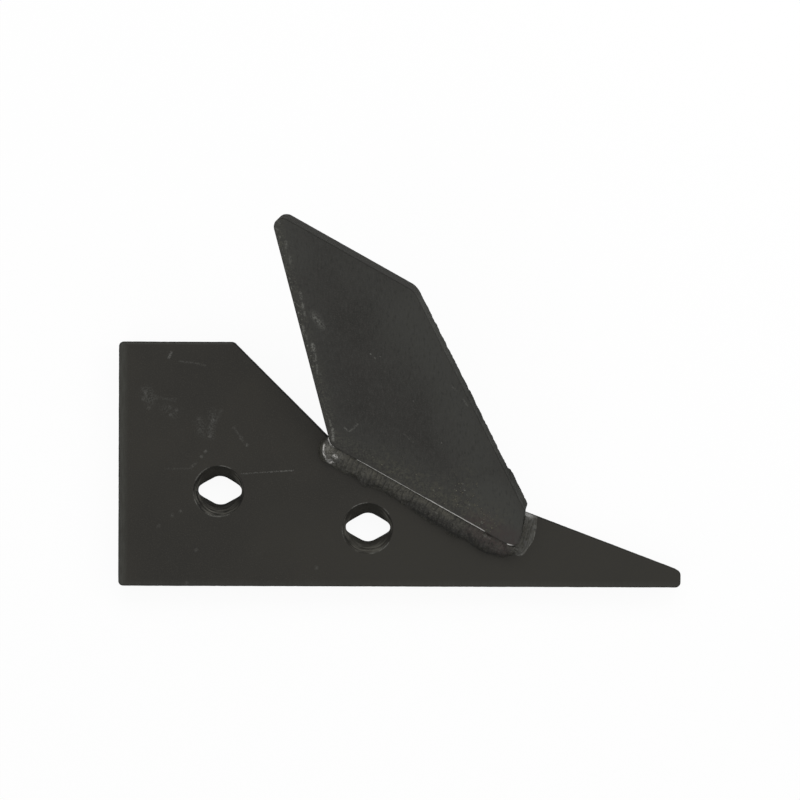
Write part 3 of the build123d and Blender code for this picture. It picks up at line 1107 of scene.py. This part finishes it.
# %% Dust, scrapes and heat on the fin
dusty_at = look.shaken(4, 7)
dust = on_fin(((-79, 95, -2, 5, 8, 1), (2, 5, 88, 5, 8, 0.8)))
look.mark(dust, (0.095, 0.094, 0.075), 0.7, share=0.5, at=dusty_at, broken=(1, 4, 0.42, 0.68))
mottle = on_fin(((30, 6, 92, 8, 15, 1), (62, 10, 66, 22, 11, 0.8)))
look.mark(mottle, (0.080, 0.078, 0.060), 0.7, share=0.4, at=dusty_at, broken=(2.2, 4, 0.46, 0.64))
flecks = on_fin([(-78, 93, -4, 7, 4.6, 1)])
flecks_at = look.shaken(2, 4)
look.mark(flecks, (0.20, 0.20, 0.18), 0.6, share=0.8, at=flecks_at, broken=(1.3, 3, 0.62, 0.7))
heat = on_fin([(84, 3, 105, 4, 11, 1)])
heat_at = look.shaken(6, 7)
look.mark(heat, (0.052, 0.036, 0.036), 0.5, share=0.5, at=heat_at, broken=(3.2, 4, 0.25, 0.65))
scrapes = on_fin((
    (-48.9, 65.6, -47.2, 63.2, 1.2, 0.5), (-45.8, 61.6, -44.2, 59, 1.2, 0.5),
    (-42.8, 57.8, -41.8, 56.2, 1, 0.4), (-37.2, 57.7, -36.2, 57.9, 1.6, 0.6),
    (-34.6, 57, -33.2, 56.5, 1.8, 0.6), (-38, 58.8, -31.5, 55.6, 3.6, 0.24),
    (-40.2, 50.2, -39, 48.6, 1.3, 0.55), (-36.6, 47, -35.6, 45.6, 1, 0.35),
    (-31.6, 44.4, -30, 42.2, 1.7, 0.7), (-28.2, 40.6, -26.4, 37.4, 1, 0.4),
    (-25, 35.6, -22.8, 31.6, 0.9, 0.3), (-2.8, 8.6, 0.2, 3.4, 1.3, 0.8),
    (-6.4, 12.4, -4.4, 10, 1.1, 0.4), (2.4, 12.6, 5.6, 12.2, 0.9, 0.35), (5.6, 12.4, 7.2, 18, 0.9, 0.3),
    (38.8, 61.9, 42, 60.8, 0.9, 0.16), (47, 58.6, 50.5, 56.8, 0.9, 0.2), (30, 26, 36, 24.6, 0.9, 0.12),
    (-66.5, 85.5, -64.9, 82.9, 1.2, 0.3), (-61.5, 79.5, -60, 77.1, 1.2, 0.25),
    (-78.5, 93, -76.5, 88.5, 1.3, 0.4),
))
specks = on_fin([(u, v, u + 0.3, v, width, strength) for u, v, width, strength in (
    (-4.2, 55.4, 0.6, 0.8), (-1.4, 54.8, 0.7, 0.6), (0.6, 56.8, 0.4, 0.4), (26, 44.6, 0.6, 0.4),
    (48.6, 32, 0.5, 0.45), (68.2, 18, 0.7, 0.45), (70.6, 15.2, 0.6, 0.5), (66.4, 13, 0.6, 0.35),
    (73.2, 13.6, 0.6, 0.4), (76.7, 9.5, 0.7, 0.55), (86.6, 4.1, 0.9, 0.95), (62, 11, 0.5, 0.3),
    (-74.6, 92.6, 1.1, 0.6), (-73.4, 89, 1, 0.5), (57, 6.6, 0.5, 0.35), (50, 5, 0.5, 0.3),
)])
look.mark(
    scrapes + specks, (0.22, 0.22, 0.20), 0.55, at=look.shaken(0.7, 0.9), broken=(0.8, 3, 0.34, 0.62),
)
arris = on_fin((
    (16, 0.1, 56, 0.1, 0.7, 0.9), (56, 0.1, 90, 0.1, 0.95, 1), (103.8, 0.3, 107, 1.2, 0.7, 0.9),
), 7.9)
look.mark(arris, STEEL, 0.32, metal=0.9, at=look.shaken(0.3, 3))
fin_material = look.done(0.7, 0.08)

# %% [markdown]
# Weld paint
#
# The paint lies thin on the runs, so the crowns of the ripples shine, and the valleys between
# the crescents, which the ripple tree noted for every point, are darker. The runs also carry
# painted light: a paler crest, painted shade and dark lines along the toe, and a lighter tail.
# The lump where the arc was struck is rubbed almost bare, and the tail was combed round the toe.

# %% Weld finish
look = painted_ground("weld_paint", (0.011, 0.0105, 0.008), (0.034, 0.0325, 0.025), 5)
look.roughness = look.maths("MULTIPLY_ADD", look.grain(2.5, 3), 0.2, 0.36)
lumpy = look.times(look.grain(2.2, 2), 0.35)
look.height = look.maths("ADD", look.times(look.grain(0.7, 4), 0.12), lumpy)


def by_foot(rows):
    """Strokes on the plate, along the fin's foot and out from it, seen from above."""
    def place(x, y):
        p = FOOT_START + along_foot * x + out_from_foot * y - part_origin
        return p.x, p.y, 0
    return [(place(x, y), place(u, v), width, strength) for x, y, u, v, width, strength in rows]


def above(width, *points, strength=1):
    """A chain of strokes through places, seen from above."""
    places = [(x, y, 0) for x, y in points]
    return [(a, b, width, strength) for a, b in zip(places, places[1:])]


flat_at = look.from_above()
loose, tight = look.shaken(3, 4.5, flat_at), look.shaken(0.9, 1.2, flat_at)
# Painted light and shade across the face run: its crest by the fin is painted paler and tan, partly as a
# highlight, and its toe is painted dark as shade.
crest_highlight = by_foot([(2, 4.5, 70, 4.5, 6.5, 1)])
look.mark(crest_highlight, (0.074, 0.070, 0.054), 0.5, share=0.75, at=loose, broken=(1.5, 4, 0.3, 0.7))
toe_shade = by_foot(((20, 11.5, 50, 10.5, 3.5, 0.8), (50, 10, 106, 9.5, 5, 1)))
look.mark(toe_shade, (0.006, 0.0055, 0.004), 0.6, share=0.75, at=loose)
scaly = look.patches(0.85, 3, 0.5, 0.64)
look.layer(look.times(scaly, 0.35), (0.070, 0.067, 0.052), 0.45)
pitted = look.eased(look.grain(1.1, 4, (1, 1, 1.3)), 0.44, 0.34)
look.layer(look.times(pitted, 0.5), SOOT_AND_SHADE, 0.7)
# The valleys between the crescents are painted darker.
valley = look.eased(look.read("crescent"), 0.5, 0.1)
valley = look.times(valley, look.read("shown"), look.patches(3, 2, 0.36, 0.6), 0.7)
look.layer(valley, (0.005, 0.005, 0.004), 0.7)

# %% Painted shadow lines, heat and bare metal on the runs
# Painted shadow: dark lines along the face run's toe, where the runs meet, and in short dashes on the run.
toe_shadow_lines = above(
    1.5, (62, 0.5), (74, -6.5), (85.4, -13.5), (93, -18.2), (97.7, -21.4), (105.5, -22.9),
    (110, -22.4),
)
toe_shadow_lines += above(1.5, (90, -10.5), (91.3, -14.8), (93.2, -17.6)) + above(1.5, (109.7, -19.9), (108, -17.2))
for a, b in (
    ((96, -16), (97.4, -15.6)), ((100.7, -15.6), (103.1, -16.8)), ((109, -19.2), (110.4, -20.3)),
):
    toe_shadow_lines += above(2.6, a, b, strength=0.8)
look.mark(toe_shadow_lines, SOOT_AND_SHADE, 0.8, share=0.75, at=tight)
brown = by_foot([(84, 5, 103, 6, 6, 1)])
look.mark(brown, (0.040, 0.028, 0.025), 0.55, share=0.6, at=loose, broken=(1.6, 3, 0.3, 0.62))
lump = above(6, (18, 32), (19, 27)) + above(4.5, (21, 28), (25, 29), strength=0.7)
look.mark(lump, (0.12, 0.118, 0.106), 0.4, share=0.75, at=tight, broken=(0.8, 3, 0.36, 0.66))
glint = above(0.85, (16.1, 33.6), (15.7, 29), (17.6, 25.2))
glint += above(0.85, (18, 37.2), (19.8, 33.4), (24, 32.2))
glint += above(1.8, (18.4, 25.3), (19.6, 25)) + above(1.6, (21.4, 27.8), (22, 27.4), strength=0.9)
look.mark(glint, STEEL, 0.38, metal=0.8, at=tight, broken=(0.8, 3, 0.34, 0.56))
across, along = look.times(look.read("across"), 9), look.times(look.read("run"), 0.12)
arcs = look.put("ShaderNodeCombineXYZ", {0: across, 1: along})
combed = look.maths("MULTIPLY_ADD", look.patches(1, 4, 0.36, 0.7, at=arcs), 0.95, 0.12)
# The end run's combed tail is painted lighter, a painted highlight where its hollow faces the light; bright
# lines along its outer edge are partly bare metal, partly painted highlight.
tail = look.near(above(6.5, (121.4, -3.2), (122.6, -9), (120.6, -15), (116, -20.5)), tight)
tail = look.times(tail, combed, look.patches(3, 3, 0.2, 0.62), 0.9)
look.layer(tail, (0.092, 0.091, 0.084), 0.45)
ends = above(0.9, (124.6, -8), (124, -15), (121, -20), (117.6, -23))
ends += above(2.4, (121.4, -2.2), (122.6, -3.6))
look.mark(ends, (0.22, 0.22, 0.205), 0.45, metal=0.4, share=0.4, at=tight, broken=(1.4, 3, 0.35, 0.6))
weld_material = look.done(0.8, 0.3)

# %% Ripple, finish and place the runs
for piece, measure, values in (
    (face_bead, on_face, {"Pitch": 2.7, "Height": 0.26, "Lag": 1.6, "Grain": 0.9}),
    (toe_bead, on_end, {"Pitch": 1.7, "Height": 0.16, "Lag": 1.0, "Grain": 0.25}),
    (back_bead, on_back, {"Pitch": 2.6, "Height": 0.28, "Lag": 1.8, "Grain": 0.35}),
):
    note_run(piece, measure)
    run_through(piece, ripples, {**values, "Finish": weld_material})
    if piece is not back_bead:
        piece.data.transform(to_part @ foot_frame)

# %% [markdown]
# Spatter
#
# Drops fly off the arc and freeze where they land, thick beside the run and few further out.
# Geometry Nodes scatters them: points on the faces, with a density painted by a rule, and one
# small squashed ball on each.

# %% Spatter tree
def spatter_tree():
    """Scatters balls over faces, by the attribute fall."""
    tree, given = geometry_tree("spatter", (
        ("Density", 1e6), ("Smallest", 0.16), ("Largest", 0.5), ("Seed", 4),
    ))
    crowd = tree.times(read(tree, "fall"), given["Density"])
    over = {"Mesh": given["Geometry"], "Density": crowd, "Seed": given["Seed"]}
    scatter = tree.every("GeometryNodeDistributePointsOnFaces", over)
    ball = tree.put("GeometryNodeMeshIcoSphere", {"Radius": MM, "Subdivisions": 2})
    ball = tree.put("GeometryNodeSetShadeSmooth", {"Geometry": ball})
    limits = {"Min": given["Smallest"], "Max": given["Largest"], "Seed": given["Seed"]}
    small = tree.put("FunctionNodeRandomValue", limits, out=1, data_type="FLOAT")
    size = tree.put("ShaderNodeCombineXYZ", {0: small, 1: small, 2: tree.times(small, 0.6)})
    drops = {"Points": scatter["Points"], "Instance": ball, "Rotation": scatter["Rotation"], "Scale": size}
    return end_geometry(tree, tree.put("GeometryNodeInstanceOnPoints", drops), given["Finish"])


look = painted_ground("spatter_paint", (0.025, 0.024, 0.018), (0.075, 0.070, 0.050), 1.2)
spatter_material = look.done(0.4, 0.3)


# %% Spatter
FOOT_ARRIS_UP, BLADE_FRONT = 7.25, 3.6
CLUSTERS = ((72, 14, 11, 3), (88, 5, 8, 2))


def spatter_fall(p):
    """How thick the drops lie at a place, in the part's millimetres."""
    local = foot_frame.inverted() @ ((Vector(p) + part_origin) * MM) / MM
    if local.z < 0.0 or (local.z < 0.5 and local.y < 12.0):
        return 0.0
    if local.z > 0.6:
        up_blade = (local.z - FOOT_ARRIS_UP) / sin(FIN_LEAN)
        if up_blade <= 1.5 or local.y > BLADE_FRONT:
            return 0.0
        thick = 0.012 * ease(20, 2, up_blade) * ease(6, 14, local.x) * ease(108, 100, local.x)
        for x, up, wide, core in CLUSTERS:
            thick += 0.22 * ease(wide, core, hypot(local.x - x, up_blade - up))
        return thick
    beside_run = ease(7, 0, abs(local.y - 13.5))
    return 0.10 * beside_run * ease(-4, 4, local.x) * ease(112, 100, local.x)


spatter = new_object("weld_spatter", bpy.data.meshes.new("weld_spatter"))
ground = bmesh.new()
ground.from_mesh(plate.data)
ground.from_mesh(fin.data)
ground.normal_update()
wrong_side = [f for f in ground.faces if f.normal.z < 0.8]
bmesh.ops.delete(ground, geom=wrong_side, context="FACES")
ground.to_mesh(spatter.data)
ground.free()
note(spatter, "fall", [spatter_fall(v.co / MM) for v in spatter.data.vertices])
run_through(spatter, spatter_tree(), {
    "Density": 1.3e6, "Smallest": 0.15, "Largest": 0.5, "Seed": 4, "Finish": spatter_material,
})

# %% [markdown]
# Joining the frame
#
# Every piece rides on the part's one body. The solid that a piece stands for is hidden and takes
# the same finish, and the visual model's sizes are printed.

# %% Ride, replace and finish
for piece, node, material, slot in (
    (plate, "base_plate", plate_material, "plate_paint"),
    (fin, "fin", fin_material, "fin_paint"),
    (face_bead, "face_weld", None, "weld_paint"),
    (toe_bead, "end_weld", None, "weld_paint"),
    (back_bead, "back_weld", None, "weld_paint"),
    (spatter, None, None, "weld_paint"),
):
    if material:
        piece.data.materials.clear()
        piece.data.materials.append(material)
    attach(piece, "root")
    if node:
        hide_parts(node)
        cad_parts[node].data.materials.clear()
        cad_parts[node].data.materials.append(material or weld_material)

low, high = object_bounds()
print("visual model, mm:", [round(v / MM, 2) for v in (*low, *high)])
